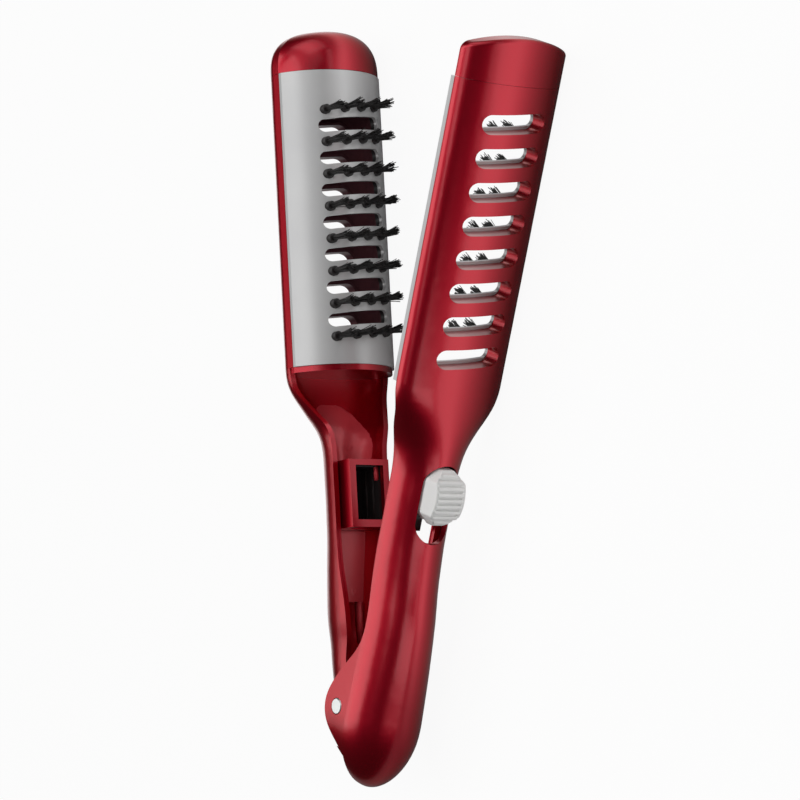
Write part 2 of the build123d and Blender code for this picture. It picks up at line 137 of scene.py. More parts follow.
def placeCamera(aim):
    turn = Matrix.Rotation(halfOpen, 3, "Z")
    towards = (turn @ Vector(aim["towards"])).normalized()
    right = (turn @ Vector(aim["pictureUp"])).cross(towards).normalized()
    up = towards.cross(right)
    target = hingePoint + right * aim["right"] + up * aim["up"]
    lens = bpy.data.cameras.new("camera")
    lens.angle = 2 * math.atan(aim["halfPicture"] / aim["pixelsPerMetre"] / aim["distance"])
    lens.clip_start = aim["clipStart"]
    camera = bpy.data.objects.new("camera", lens)
    scene.collection.objects.link(camera)
    axes = Matrix((right, up, towards)).transposed().to_4x4()
    camera.matrix_world = Matrix.Translation(target + towards * aim["distance"]) @ axes
    scene.camera = camera


placeCamera(cameraAim)
print("camera placed")


# each shader group puts out a colour, a roughness and a normal
def newGroup(name, inputs):
    tree = bpy.data.node_groups.new(name, "ShaderNodeTree")
    face = tree.interface
    for label, kind, value in inputs:
        socket = face.new_socket(name=label, in_out="INPUT", socket_type="NodeSocket" + kind)
        socket.default_value = value
    for label, kind in (("Colour", "Color"), ("Roughness", "Float"), ("Normal", "Vector")):
        face.new_socket(name=label, in_out="OUTPUT", socket_type="NodeSocket" + kind)
    return tree, tree.nodes.new("NodeGroupInput").outputs


def finishGroup(tree, colour, roughness, normal):
    addNode(tree, "NodeGroupOutput", {"Colour": colour, "Roughness": roughness, "Normal": normal})
    return tree


lacquerBuild = {
    "cloudDetail": 3,
    "cloudBand": (0.35, 0.75),
    "deepShare": 0.25,             # of the deep colour where the clouds are thickest
    "roughnessSpread": 0.05,
    "flakeDepth": 0.02 * mm,
}


# deep colour clouds and fine flakes under a clear coat
def makeLacquerGroup():
    tree, start = newGroup("lacquerFlake", [
        ("Colour", "Color", (0.5, 0.01, 0.03, 1)),
        ("Deep Colour", "Color", (0.3, 0.0, 0.01, 1)),
        ("Cloud Scale", "Float", 34.0),
        ("Flake Scale", "Float", 5200.0),
        ("Flake Tilt", "Float", 0.06),
        ("Roughness", "Float", 0.24),
    ])
    place = addNode(tree, "ShaderNodeTexCoord", {}).outputs["Object"]
    cloud = addNode(tree, "ShaderNodeTexNoise", {
        "Vector": place,
        "Scale": start["Cloud Scale"],
        "Detail": lacquerBuild["cloudDetail"],
    }).outputs["Fac"]
    deep = addNode(tree, "ShaderNodeMapRange", {
        "Value": cloud,
        "From Min": lacquerBuild["cloudBand"][0],
        "From Max": lacquerBuild["cloudBand"][1],
        "To Max": lacquerBuild["deepShare"],
    })
    mix = addNode(tree, "ShaderNodeMix", {
        "Factor": deep.outputs["Result"],
        "A": start["Colour"],
        "B": start["Deep Colour"],
    }, data_type="RGBA")
    flake = addNode(tree, "ShaderNodeTexVoronoi", {"Vector": place, "Scale": start["Flake Scale"]})
    bump = addNode(tree, "ShaderNodeBump", {
        "Strength": start["Flake Tilt"],
        "Distance": lacquerBuild["flakeDepth"],
        "Height": flake.outputs["Distance"],
    })
    spread = lacquerBuild["roughnessSpread"]
    rough = addMath(tree, "MULTIPLY_ADD", cloud, spread, start["Roughness"])
    return finishGroup(tree, mix.outputs["Result"], rough, bump.outputs["Normal"])


grainBuild = {
    "grainDetail": 2,
    "grainDepth": 0.05 * mm,
    "marksScale": 60,
    "marksDetail": 5,
    "marksBand": (0.4, 0.8),
}


# the fine grain and handling marks of a moulded or ground surface
def makeGrainGroup():
    tree, start = newGroup("mouldGrain", [
        ("Colour", "Color", (0.5, 0.5, 0.5, 1)),
        ("Worn Colour", "Color", (0.45, 0.45, 0.45, 1)),
        ("Grain Scale", "Float", 2600.0),
        ("Stretch", "Vector", (1.0, 1.0, 1.0)),
        ("Grain Depth", "Float", 0.1),
        ("Roughness", "Float", 0.4),
        ("Roughness Spread", "Float", 0.08),
    ])
    place = addNode(tree, "ShaderNodeTexCoord", {}).outputs["Object"]
    stretched = addNode(tree, "ShaderNodeMapping", {"Vector": place, "Scale": start["Stretch"]})
    grain = addNode(tree, "ShaderNodeTexNoise", {
        "Vector": stretched.outputs["Vector"],
        "Scale": start["Grain Scale"],
        "Detail": grainBuild["grainDetail"],
    })
    marks = addNode(tree, "ShaderNodeTexNoise", {
        "Vector": place,
        "Scale": grainBuild["marksScale"],
        "Detail": grainBuild["marksDetail"],
    }).outputs["Fac"]
    worn = addNode(tree, "ShaderNodeMapRange", {
        "Value": marks,
        "From Min": grainBuild["marksBand"][0],
        "From Max": grainBuild["marksBand"][1],
    })
    mix = addNode(tree, "ShaderNodeMix", {
        "Factor": worn.outputs["Result"],
        "A": start["Colour"],
        "B": start["Worn Colour"],
    }, data_type="RGBA")
    bump = addNode(tree, "ShaderNodeBump", {
        "Strength": start["Grain Depth"],
        "Distance": grainBuild["grainDepth"],
        "Height": grain.outputs["Fac"],
    })
    rough = addMath(tree, "MULTIPLY_ADD", marks, start["Roughness Spread"], start["Roughness"])
    return finishGroup(tree, mix.outputs["Result"], rough, bump.outputs["Normal"])


lacquerGroup = makeLacquerGroup()
grainGroup = makeGrainGroup()

# "effect" holds a group's own values, "plain" what is the same all over the surface
finishes = {
    "redLacquer": {
        "group": lacquerGroup,
        "effect": {
            "Colour": (0.5, 0.001, 0.018, 1),
            "Deep Colour": (0.42, 0.0005, 0.011, 1),
            "Roughness": 0.34,
            "Flake Tilt": 0.05,
        },
        "plain": {
            "Metallic": 0.9,
            "Specular Tint": (0.4, 0.05, 0.06, 1),
            "Coat Weight": 0.85,
            "Coat Roughness": 0.2,
            "Coat IOR": 1.55,
        },
    },
    "innerRedPaintedSheen": {                  # painted sheen: the red on the panels and ribs inside, lighter and pinker than the lacquer, with little metal and coat, for the light they reflect
        "group": lacquerGroup,
        "effect": {
            "Colour": (0.62, 0.05, 0.068, 1),
            "Deep Colour": (0.5, 0.03, 0.045, 1),
            "Roughness": 0.34,
            "Flake Tilt": 0.03,
        },
        "plain": {"Metallic": 0.3, "Coat Weight": 0.35, "Coat Roughness": 0.18, "Coat IOR": 1.5},
    },
    "plateSatin": {
        "group": grainGroup,
        "effect": {
            "Colour": (0.57, 0.57, 0.57, 1),
            "Worn Colour": (0.54, 0.54, 0.545, 1),
            "Grain Scale": 1800.0,
            "Stretch": (0.25, 1.0, 1.0),
            "Grain Depth": 0.12,
            "Roughness": 0.3,
            "Roughness Spread": 0.06,
        },
        "plain": {"Metallic": 0.4},
    },
    "bristleNylon": {
        "group": grainGroup,
        "effect": {
            "Colour": (0.014, 0.013, 0.013, 1),
            "Worn Colour": (0.022, 0.019, 0.018, 1),
            "Grain Scale": 3000.0,
            "Grain Depth": 0.05,
            "Roughness": 0.36,
            "Roughness Spread": 0.1,
        },
        "plain": {"Specular IOR Level": 0.45},
    },
    "carrierBlack": {
        "group": grainGroup,
        "effect": {
            "Colour": (0.012, 0.010, 0.010, 1),
            "Worn Colour": (0.018, 0.014, 0.014, 1),
            "Grain Scale": 2200.0,
            "Grain Depth": 0.12,
            "Roughness": 0.42,
            "Roughness Spread": 0.1,
        },
        "plain": {},
    },
    "buttonMould": {
        "group": grainGroup,
        "effect": {
            "Colour": (0.8, 0.8, 0.79, 1),
            "Worn Colour": (0.76, 0.76, 0.75, 1),
            "Grain Scale": 2600.0,
            "Grain Depth": 0.1,
            "Roughness": 0.4,
            "Roughness Spread": 0.08,
        },
        "plain": {},
    },
    "pinSteel": {
        "group": grainGroup,
        "effect": {
            "Colour": (0.78, 0.8, 0.79, 1),
            "Worn Colour": (0.7, 0.71, 0.7, 1),
            "Grain Scale": 1500.0,
            "Grain Depth": 0.06,
            "Roughness": 0.24,
            "Roughness Spread": 0.1,
        },
        "plain": {"Metallic": 1.0},
    },
    "springWire": {
        "group": grainGroup,
        "effect": {
            "Colour": (0.5, 0.5, 0.52, 1),
            "Worn Colour": (0.4, 0.39, 0.38, 1),
            "Grain Scale": 1200.0,
            "Grain Depth": 0.1,
            "Roughness": 0.28,
            "Roughness Spread": 0.15,
        },
        "plain": {"Metallic": 1.0},
    },
}


def makeFinish(name, finish):
    material = bpy.data.materials.new(name)
    material.use_nodes = True
    tree = material.node_tree
    shader = tree.nodes["Principled BSDF"]
    effect = addNode(tree, "ShaderNodeGroup", {}, node_tree=finish["group"])
    for label, value in finish["effect"].items():
        effect.inputs[label].default_value = value
    tree.links.new(effect.outputs["Colour"], shader.inputs["Base Color"])
    tree.links.new(effect.outputs["Roughness"], shader.inputs["Roughness"])
    tree.links.new(effect.outputs["Normal"], shader.inputs["Normal"])
    for label, value in finish["plain"].items():
        shader.inputs[label].default_value = value
    return material


# painted shade: the inside of the base's head and the walls of its vents get a dark colour, with
# no metal and no coat, standing in for the shade that falls inside the head
paintedShadeInside = {
    "along": 122.0,                # from the hinge, where the head starts
    "axisHeight": 5.0,             # a line along the head's middle, from which outwards is told
    "height": 1.0,                 # above that line, clear of the rim that holds the plate
    "facing": 0.3,                 # painted shade where the surface faces outwards less than this
    "colour": (0.13, 0.05, 0.06, 1),
    "roughness": 0.42,
}


# the head's lacquer, with painted shade inside the head and on its vent walls
def makeHeadLacquerWithPaintedShade():
    material = makeFinish("headLacquerPaintedShade", finishes["redLacquer"])
    tree = material.node_tree
    shader = tree.nodes["Principled BSDF"]
    effect = tree.nodes["Group"]
    lengthwise = armDirection("base_arm", 1, 0, 0)
    upwards = armDirection("base_arm", 0, 1, 0)
    axisPoint = armPoint("base_arm", 0, paintedShadeInside["axisHeight"], 0)
    place = addNode(tree, "ShaderNodeTexCoord", {}).outputs
    fromAxis = addVectorMath(tree, "SUBTRACT", place["Object"], axisPoint)
    ahead = addVectorMath(tree, "PROJECT", fromAxis, lengthwise)
    aside = addVectorMath(tree, "SUBTRACT", fromAxis, ahead)
    outwards = addVectorMath(tree, "NORMALIZE", aside)
    # the painted shade's mask: past the head's start, above the axis line, and facing outwards
    # little
    paintedShade = 1.0
    for vector, direction, operation, limit in (
        (fromAxis, lengthwise, "GREATER_THAN", paintedShadeInside["along"] * mm),
        (fromAxis, upwards, "GREATER_THAN", paintedShadeInside["height"] * mm),
        (outwards, place["Normal"], "LESS_THAN", paintedShadeInside["facing"]),
    ):
        reach = addVectorMath(tree, "DOT_PRODUCT", vector, direction, output="Value")
        paintedShade = addMath(tree, "MULTIPLY", paintedShade, addMath(tree, operation, reach, limit))
    colour = addNode(tree, "ShaderNodeMix", {
        "Factor": paintedShade,
        "A": effect.outputs["Colour"],
        "B": paintedShadeInside["colour"],
    }, data_type="RGBA")
    rough = addNode(tree, "ShaderNodeMix", {
        "Factor": paintedShade,
        "A": effect.outputs["Roughness"],
        "B": paintedShadeInside["roughness"],
    })
    tree.links.new(colour.outputs["Result"], shader.inputs["Base Color"])
    tree.links.new(rough.outputs["Result"], shader.inputs["Roughness"])
    for label in ("Metallic", "Coat Weight"):
        full = finishes["redLacquer"]["plain"][label]
        left = addMath(tree, "MULTIPLY_ADD", paintedShade, -full, full)
        tree.links.new(left, shader.inputs[label])
    return material


looks = {name: makeFinish(name, finish) for name, finish in finishes.items()}
looks["headLacquerPaintedShade"] = makeHeadLacquerWithPaintedShade()

nodeLook = {
    "base_shell": "headLacquerPaintedShade",
    "cover_shell": "redLacquer",
    "base_cap": "redLacquer",
    "cover_cap": "redLacquer",
    "base_plate": "plateSatin",
    "cover_plate": "plateSatin",
    "base_bristle_carrier": "carrierBlack",
    "cover_bristle_carrier": "carrierBlack",
    "catch_insert": "carrierBlack",
    "lock_button": "buttonMould",
    "lock_slider": "carrierBlack",
    "hinge_pin": "pinSteel",
    "torsion_spring": "springWire",
}
for name, node in cadNodes.items():
    node.data.materials.clear()
    node.data.materials.append(looks[nodeLook.get(name, "bristleNylon")])
print("materials made:", len(bpy.data.materials))


def newTree(name, inputs):
    tree = bpy.data.node_groups.new(name, "GeometryNodeTree")
    face = tree.interface
    face.new_socket(name="Geometry", in_out="INPUT", socket_type="NodeSocketGeometry")
    face.new_socket(name="Geometry", in_out="OUTPUT", socket_type="NodeSocketGeometry")
    for label, kind in inputs.items():
        face.new_socket(name=label, in_out="INPUT", socket_type="NodeSocket" + kind)
    return tree, tree.nodes.new("NodeGroupInput").outputs


# a tree ends as one plain mesh with its material
def finishTree(tree, geometry, material):
    solid = addNode(tree, "GeometryNodeRealizeInstances", {"Geometry": geometry})
    dressed = addNode(tree, "GeometryNodeSetMaterial", {
        "Geometry": solid.outputs["Geometry"],
        "Material": material,
    })
    addNode(tree, "NodeGroupOutput", {"Geometry": dressed.outputs["Geometry"]})
    return tree


def readAttribute(tree, name, kind):
    node = addNode(tree, "GeometryNodeInputNamedAttribute", {"Name": name}, data_type=kind)
    return node.outputs["Attribute"]


def randomNumber(tree, low, high, seed):
    inputs = {2: low, 3: high, "Seed": seed}
    return addNode(tree, "FunctionNodeRandomValue", inputs, data_type="FLOAT").outputs[1]


# points for a tree to build on, each with the way it aims and perhaps how far it reaches
def seedMesh(points, aims, reaches=()):
    mesh = bpy.data.meshes.new("seeds")
    mesh.from_pydata(points, [], [])
    aim = mesh.attributes.new("aim", "FLOAT_VECTOR", "POINT")
    aim.data.foreach_set("vector", [part for direction in aims for part in direction])
    if reaches:
        reach = mesh.attributes.new("reach", "FLOAT", "POINT")
        reach.data.foreach_set("value", reaches)
    return mesh


# run a tree on its seeds and keep the plain result
def settle(name, seeds, tree, values):
    thing = addObject(name + "Seed", seeds)
    modifier = thing.modifiers.new("tree", "NODES")
    modifier.node_group = tree
    sockets = {item.name: item.identifier for item in tree.interface.items_tree
               if item.item_type == "SOCKET" and item.in_out == "INPUT"}
    for label, value in values.items():
        modifier[sockets[label]] = value
    graph = bpy.context.evaluated_depsgraph_get()
    result = bpy.data.meshes.new_from_object(thing.evaluated_get(graph))
    thing.modifiers.remove(modifier)
    bpy.data.objects.remove(thing)
    result.name = name
    return addObject(name, result)


# one filament tree, seeded with a point and an aim for every tuft
bristles = {
    "firstRow": 207.8,             # from the hinge
    "rowPitch": 11.4,
    "rows": {"base_arm": 8, "cover_arm": 7},
    "rowOffset": {"base_arm": 0.0, "cover_arm": 0.5},
    "spots": (-10.2, -3.4, 3.4, 10.2),
    "slant": math.radians(5.85),
    "forward": {"base_arm": 0.0, "cover_arm": 0.22},
    "bossHeight": 1.0,
    "filaments": 48,
    "tuftRadius": 0.8,
    "splay": 0.05,
    "unruly": 0.045,
    "length": 9.9,
    "lengthSpread": 0.16,
    "bend": 0.07,
    "bendPower": 2.2,
    "wire": 0.14,
    "tipShare": 0.55,              # of the wire's radius, at its tip
    "steps": 5,
    "sides": 4,
    "seeds": {"base_arm": 10, "cover_arm": 30},
}

# the arcs of the two grey plates, across the arm
plateArc = {
    "baseRadius": 23.4,
    "baseCrown": -8.8,
    "coverEdge": 6.15,
    "coverCrown": 10.3,
    "coverHalf": 21.0,
}


def plateHeight(arm, across):
    if arm == "base_arm":
        radius = plateArc["baseRadius"]
        return plateArc["baseCrown"] + radius - math.sqrt(radius ** 2 - across ** 2)
    rise = plateArc["coverCrown"] - plateArc["coverEdge"]
    radius = (plateArc["coverHalf"] ** 2 + rise ** 2) / (2 * rise)
    return plateArc["coverCrown"] - radius + math.sqrt(radius ** 2 - across ** 2)


def tuftSeeds(arm):
    points, aims = [], []
    for row in range(bristles["rows"][arm]):
        middle = bristles["firstRow"] - (row + bristles["rowOffset"][arm]) * bristles["rowPitch"]
        for across in bristles["spots"]:
            along = middle - math.tan(bristles["slant"]) * across
            height = plateHeight(arm, across) - bristles["bossHeight"]
            points.append(armPoint(arm, along, height, across))
            aims.append(armDirection(arm, bristles["forward"][arm], -1, 0))
    return seedMesh(points, aims)


def makeTuftTree():
    tree, start = newTree("bristleTufts", {
        "Filaments": "Int",
        "Tuft Radius": "Float",
        "Splay": "Float",
        "Unruly": "Float",
        "Length": "Float",
        "Length Spread": "Float",
        "Bend": "Float",
        "Wire Radius": "Float",
        "Seed": "Int",
        "Material": "Material",
    })

    # every tuft becomes a bundle of points
    tuftPoints = addNode(tree, "GeometryNodeMeshToPoints", {"Mesh": start["Geometry"]})
    bundle = addNode(tree, "GeometryNodeDuplicateElements", {
        "Geometry": tuftPoints.outputs["Points"],
        "Amount": start["Filaments"],
    }, domain="POINT")

    # spread over the boss, in the plane square to the aim
    aim = readAttribute(tree, "aim", "FLOAT_VECTOR")
    facing = addNode(tree, "FunctionNodeAlignRotationToVector", {"Vector": aim}, axis="Z")
    angle = randomNumber(tree, 0.0, 2 * math.pi, addMath(tree, "ADD", start["Seed"], 1))
    share = randomNumber(tree, 0.0, 1.0, addMath(tree, "ADD", start["Seed"], 2))
    disc = addNode(tree, "ShaderNodeCombineXYZ", {
        "X": addMath(tree, "COSINE", angle),
        "Y": addMath(tree, "SINE", angle),
    })
    outward = addNode(tree, "FunctionNodeRotateVector", {
        "Vector": addScaled(tree, disc.outputs["Vector"], addMath(tree, "SQRT", share)),
        "Rotation": facing.outputs["Rotation"],
    }).outputs["Vector"]
    spread = addNode(tree, "GeometryNodeSetPosition", {
        "Geometry": bundle.outputs["Geometry"],
        "Offset": addScaled(tree, outward, start["Tuft Radius"]),
    })

    # outer filaments splay, and each strays a little
    stray = addNode(tree, "FunctionNodeRandomValue", {
        0: (-1, -1, -1),
        1: (1, 1, 1),
    }, data_type="FLOAT_VECTOR").outputs[0]
    splayed = addScaled(tree, outward, start["Splay"])
    strayed = addScaled(tree, stray, start["Unruly"])
    heading = addVectorMath(tree, "ADD", addVectorMath(tree, "ADD", splayed, strayed), aim)
    pointing = addNode(tree, "FunctionNodeAlignRotationToVector", {"Vector": heading}, axis="Z")
    spin = addNode(tree, "FunctionNodeAxisAngleToRotation", {
        "Axis": (0, 0, 1),
        "Angle": randomNumber(tree, 0.0, 2 * math.pi, 5),
    })
    rolled = addNode(tree, "FunctionNodeRotateRotation", {
        "Rotation": pointing.outputs["Rotation"],
        "Rotate By": spin.outputs["Rotation"],
    }, rotation_space="LOCAL")

    # one bent filament of unit length
    line = addNode(tree, "GeometryNodeCurvePrimitiveLine", {"End": (0, 0, 1)})
    steps = addNode(tree, "GeometryNodeResampleCurve", {
        "Curve": line.outputs["Curve"],
        "Count": bristles["steps"],
    })
    along = addNode(tree, "GeometryNodeSplineParameter", {}).outputs["Factor"]
    late = addMath(tree, "POWER", along, bristles["bendPower"])
    curl = addMath(tree, "MULTIPLY", late, start["Bend"])
    bow = addNode(tree, "ShaderNodeCombineXYZ", {"X": curl})
    bent = addNode(tree, "GeometryNodeSetPosition", {
        "Geometry": steps.outputs["Curve"],
        "Offset": bow.outputs["Vector"],
    })

    # copies of different length
    shortest = addMath(tree, "SUBTRACT", 1.0, start["Length Spread"])
    length = addMath(tree, "MULTIPLY", randomNumber(tree, shortest, 1.0, 6), start["Length"])
    copies = addNode(tree, "GeometryNodeInstanceOnPoints", {
        "Points": spread.outputs["Geometry"],
        "Instance": bent.outputs["Geometry"],
        "Rotation": rolled.outputs["Rotation"],
        "Scale": length,
    })
    curves = addNode(tree, "GeometryNodeRealizeInstances", {
        "Geometry": copies.outputs["Instances"],
    })

    # thin tapered tubes along them
    ring = addNode(tree, "GeometryNodeCurvePrimitiveCircle", {
        "Resolution": bristles["sides"],
        "Radius": start["Wire Radius"],
    })
    taper = addNode(tree, "ShaderNodeMapRange", {
        "Value": along,
        "To Min": 1.0,
        "To Max": bristles["tipShare"],
    })
    tapered = addNode(tree, "GeometryNodeSetCurveRadius", {
        "Curve": curves.outputs["Geometry"],
        "Radius": taper.outputs["Result"],
    })
    tubes = addNode(tree, "GeometryNodeCurveToMesh", {
        "Curve": tapered.outputs["Curve"],
        "Profile Curve": ring.outputs["Curve"],
        "Fill Caps": True,
    })
    return finishTree(tree, tubes.outputs["Mesh"], start["Material"])


tuftTree = makeTuftTree()
for arm, short in (("base_arm", "base"), ("cover_arm", "cover")):
    tufts = settle(short + "Bristles", tuftSeeds(arm), tuftTree, {
        "Filaments": bristles["filaments"],
        "Tuft Radius": bristles["tuftRadius"] * mm,
        "Splay": bristles["splay"],
        "Unruly": bristles["unruly"],
        "Length": bristles["length"] * mm,
        "Length Spread": bristles["lengthSpread"],
        "Bend": bristles["bend"],
        "Wire Radius": bristles["wire"] * mm,
        "Seed": bristles["seeds"][arm],
        "Material": looks["bristleNylon"],
    })
    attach(tufts, arm)
    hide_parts(*[f"{short}_tufts_{k}" for k in range(1, bristles["rows"][arm] + 1)])
    print(tufts.name, len(tufts.data.polygons), "faces")


# button ribs, one bar on each land between the grooves
ribs = {
    "count": 9,
    "middle": 80.0,                # along the cover arm
    "padLength": 19.6,
    "padWidth": 12.7,
    "padTop": 22.3,
    "archRise": 4.6,
    "cornerCut": 3.9,
    "endRoom": 0.6,                # of a rib's pitch, shared by the two ends
    "edgeGap": 1.0,
    "width": 0.74,
    "rise": 0.5,
    "sink": 0.08,
    "steps": 25,
    "sides": 16,
    "endPower": 14,                # how late a bar draws in towards its ends
}


def ribSeeds():
    half = ribs["padLength"] / 2
    radius = (half ** 2 + ribs["archRise"] ** 2) / (2 * ribs["archRise"])
    pitch = ribs["padLength"] / (ribs["count"] + ribs["endRoom"])
    points, aims, reaches = [], [], []
    for k in range(ribs["count"]):
        x = (k - (ribs["count"] - 1) / 2) * pitch
        height = ribs["padTop"] - radius + math.sqrt(radius ** 2 - x ** 2) - ribs["sink"]
        cut = max(0.0, abs(x) - (half - ribs["cornerCut"]))
        points.append(armPoint("cover_arm", ribs["middle"] + x, height, 0))
        aims.append(armDirection("cover_arm", x / radius, math.sqrt(1 - (x / radius) ** 2), 0))
        reaches.append((ribs["padWidth"] / 2 - ribs["edgeGap"] - cut) * mm)
    return seedMesh(points, aims, reaches)


def makeRibTree():
    tree, start = newTree("buttonRibs", {
        "Half Width": "Float",
        "Rise": "Float",
        "Material": "Material",
    })

    # a bar of half length 1 with drawn-in ends
    line = addNode(tree, "GeometryNodeCurvePrimitiveLine", {"Start": (0, -1, 0), "End": (0, 1, 0)})
    steps = addNode(tree, "GeometryNodeResampleCurve", {
        "Curve": line.outputs["Curve"],
        "Count": ribs["steps"],
    })
    along = addNode(tree, "GeometryNodeSplineParameter", {}).outputs["Factor"]
    fromMiddle = addMath(tree, "MULTIPLY", addMath(tree, "SUBTRACT", along, 0.5), 2.0)
    late = addMath(tree, "POWER", addMath(tree, "ABSOLUTE", fromMiddle), ribs["endPower"])
    rounded = addNode(tree, "GeometryNodeSetCurveRadius", {
        "Curve": steps.outputs["Curve"],
        "Radius": addMath(tree, "SQRT", addMath(tree, "SUBTRACT", 1.0, late)),
    })
    ring = addNode(tree, "GeometryNodeCurvePrimitiveCircle", {
        "Resolution": ribs["sides"],
        "Radius": 1.0,
    })
    bar = addNode(tree, "GeometryNodeCurveToMesh", {
        "Curve": rounded.outputs["Curve"],
        "Profile Curve": ring.outputs["Curve"],
    })
    smooth = addNode(tree, "GeometryNodeSetShadeSmooth", {"Geometry": bar.outputs["Mesh"]})

    # one bar on each seed, its top along the seed's aim
    turn = addNode(tree, "FunctionNodeAxesToRotation", {
        "Primary Axis": readAttribute(tree, "aim", "FLOAT_VECTOR"),
        "Secondary Axis": (0, 0, 1),
    }, primary_axis="Z", secondary_axis="Y")
    scale = addNode(tree, "ShaderNodeCombineXYZ", {
        "X": start["Half Width"],
        "Y": readAttribute(tree, "reach", "FLOAT"),
        "Z": start["Rise"],
    })
    seeds = addNode(tree, "GeometryNodeMeshToPoints", {"Mesh": start["Geometry"]})
    copies = addNode(tree, "GeometryNodeInstanceOnPoints", {
        "Points": seeds.outputs["Points"],
        "Instance": smooth.outputs["Geometry"],
        "Rotation": turn.outputs["Rotation"],
        "Scale": scale.outputs["Vector"],
    })
    return finishTree(tree, copies.outputs["Instances"], start["Material"])


buttonRibs = settle("buttonRibs", ribSeeds(), makeRibTree(), {
    "Half Width": ribs["width"] * mm,
    "Rise": ribs["rise"] * mm,
    "Material": looks["buttonMould"],
})
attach(buttonRibs, "lock_slide")
print("button ribs:", len(buttonRibs.data.polygons), "faces")


def makeSpring():
    form = bmesh.new()
    form.from_mesh(cadNodes["torsion_spring"].data)
    bmesh.ops.remove_doubles(form, verts=form.verts, dist=mergeGap)
    coil = formObject("springCoil", form, looks["springWire"])
    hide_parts("torsion_spring")
    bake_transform(coil)


makeSpring()
print("spring made")


# raised panels inside the base's neck; rows run across it: along, half width
neckPanels = {
    "neckShelf": {
        "rows": ((36.5, 6.4), (48.0, 6.6), (60.8, 6.9)),
        "lift": 0.15,
        "flat": True,
        "marks": ((40.0, -2.6), (40.0, 2.6)),
    },
    "towerApron": {
        "rows": ((84.5, 8.6), (95.3, 9.9), (99.1, 9.5), (102.6, 8.2), (105.4, 5.2), (106.4, 2.4)),
        "lift": 0.45,
        "flat": False,
        "marks": ((90.6, -3.4), (90.6, 3.4)),
    },
}
panelBuild = {
    "step": 0.45,
    "root": 0.5,                   # how deep the panel's foot sits in the wall
    "markRadius": 0.8,
    "markWidth": 0.17,
    "markRise": 0.22,
    "rimPower": 5,                 # how late a curved panel's lift runs out towards its rim
    "rimSink": 0.04,
    "castFrom": 1.0,
}
baseTree = BVHTree.FromObject(cadNodes["base_shell"], bpy.context.evaluated_depsgraph_get())


def floorHeight(along, across):
    start = armPoint("base_arm", along, panelBuild["castFrom"], across)
    hit = baseTree.ray_cast(start, armDirection("base_arm", 0, 1, 0))
    return panelBuild["castFrom"] + hit[3] / mm


def halfWidthAt(rows, along):
    for (a0, w0), (a1, w1) in zip(rows, rows[1:]):
        if along <= a1:
            return w0 + (w1 - w0) * (along - a0) / (a1 - a0)
    return rows[-1][1]


def markRise(marks, along, across):
    rise = 0.0
    for markAlong, markAcross in marks:
        away = math.hypot(along - markAlong, across - markAcross) - panelBuild["markRadius"]
        rise += panelBuild["markRise"] * math.exp(-(away / panelBuild["markWidth"]) ** 2)
    return rise


def makePanel(name, panel):
    rows, step = panel["rows"], panelBuild["step"]
    start, length = rows[0][0], rows[-1][0] - rows[0][0]
    alongCount = round(length / step)
    acrossCount = round(2 * max(half for along, half in rows) / step)
    form = bmesh.new()
    tops, feet = [], []
    for i in range(alongCount + 1):
        along = start + length * i / alongCount
        half = halfWidthAt(rows, along)
        shelf = min(floorHeight(along, -half), floorHeight(along, half))
        topRow, footRow = [], []
        for j in range(acrossCount + 1):
            side = 2 * j / acrossCount - 1
            across = half * side
            floorAt = floorHeight(along, across)
            if panel["flat"]:
                top = shelf - panel["lift"]
            else:
                rimShare = max(abs(side), i / alongCount) ** panelBuild["rimPower"]
                top = floorAt - panel["lift"] * (1 - rimShare) + panelBuild["rimSink"] * rimShare
            top -= markRise(panel["marks"], along, across)
            foot = floorAt + panelBuild["root"]
            topRow.append(form.verts.new(armPoint("base_arm", along, top, across)))
            footRow.append(form.verts.new(armPoint("base_arm", along, foot, across)))
        tops.append(topRow)
        feet.append(footRow)
    for i in range(alongCount):
        for j in range(acrossCount):
            form.faces.new((tops[i][j], tops[i][j + 1], tops[i + 1][j + 1], tops[i + 1][j]))
            form.faces.new((feet[i][j], feet[i + 1][j], feet[i + 1][j + 1], feet[i][j + 1]))
    rim = [(0, j) for j in range(acrossCount)]
    rim += [(i, acrossCount) for i in range(alongCount)]
    rim += [(alongCount, j) for j in range(acrossCount, 0, -1)]
    rim += [(i, 0) for i in range(alongCount, 0, -1)]
    for (i, j), (k, l) in zip(rim, rim[1:] + rim[:1]):
        form.faces.new((tops[i][j], feet[i][j], feet[k][l], tops[k][l]))
    bmesh.ops.recalc_face_normals(form, faces=form.faces)
    # the panels take the lighter red, a painted sheen for the light they reflect
    thing = formObject(name, form, looks["innerRedPaintedSheen"])
    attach(thing, "base_arm")
    print(name, len(thing.data.polygons), "faces")


for name, panel in neckPanels.items():
    makePanel(name, panel)


# bars with softened edges: along, height and across, each from and to
bars = {
    "hingeRib": {"kind": "red", "sizes": [((22.0, 36.6), (9.0, 12.15), (-6.0, -4.3))]},
    "linerRibs": {
        "kind": "black",
        "sizes": [
            ((64.0, 82.0), (2.1, 3.2), (-6.0, -4.9)),
            ((64.0, 82.0), (-1.6, -0.8), (-6.0, -5.1)),
        ],
    },
    "catchLug": {"kind": "red", "sizes": [((77.4, 82.4), (-4.5, -3.1), (-6.0, -4.4))]},
}
barBuild = {
    "bevel": 0.25,
    "segments": 3,
    # the red bars take the lighter red, a painted sheen for the light they reflect
    "kinds": {"red": ("innerRedPaintedSheen", "red_shell"), "black": ("carrierBlack", "black_bristle")},
    "sides": ((0, 1, 3, 2), (4, 6, 7, 5), (0, 4, 5, 1), (2, 3, 7, 6), (0, 2, 6, 4), (1, 5, 7, 3)),
}


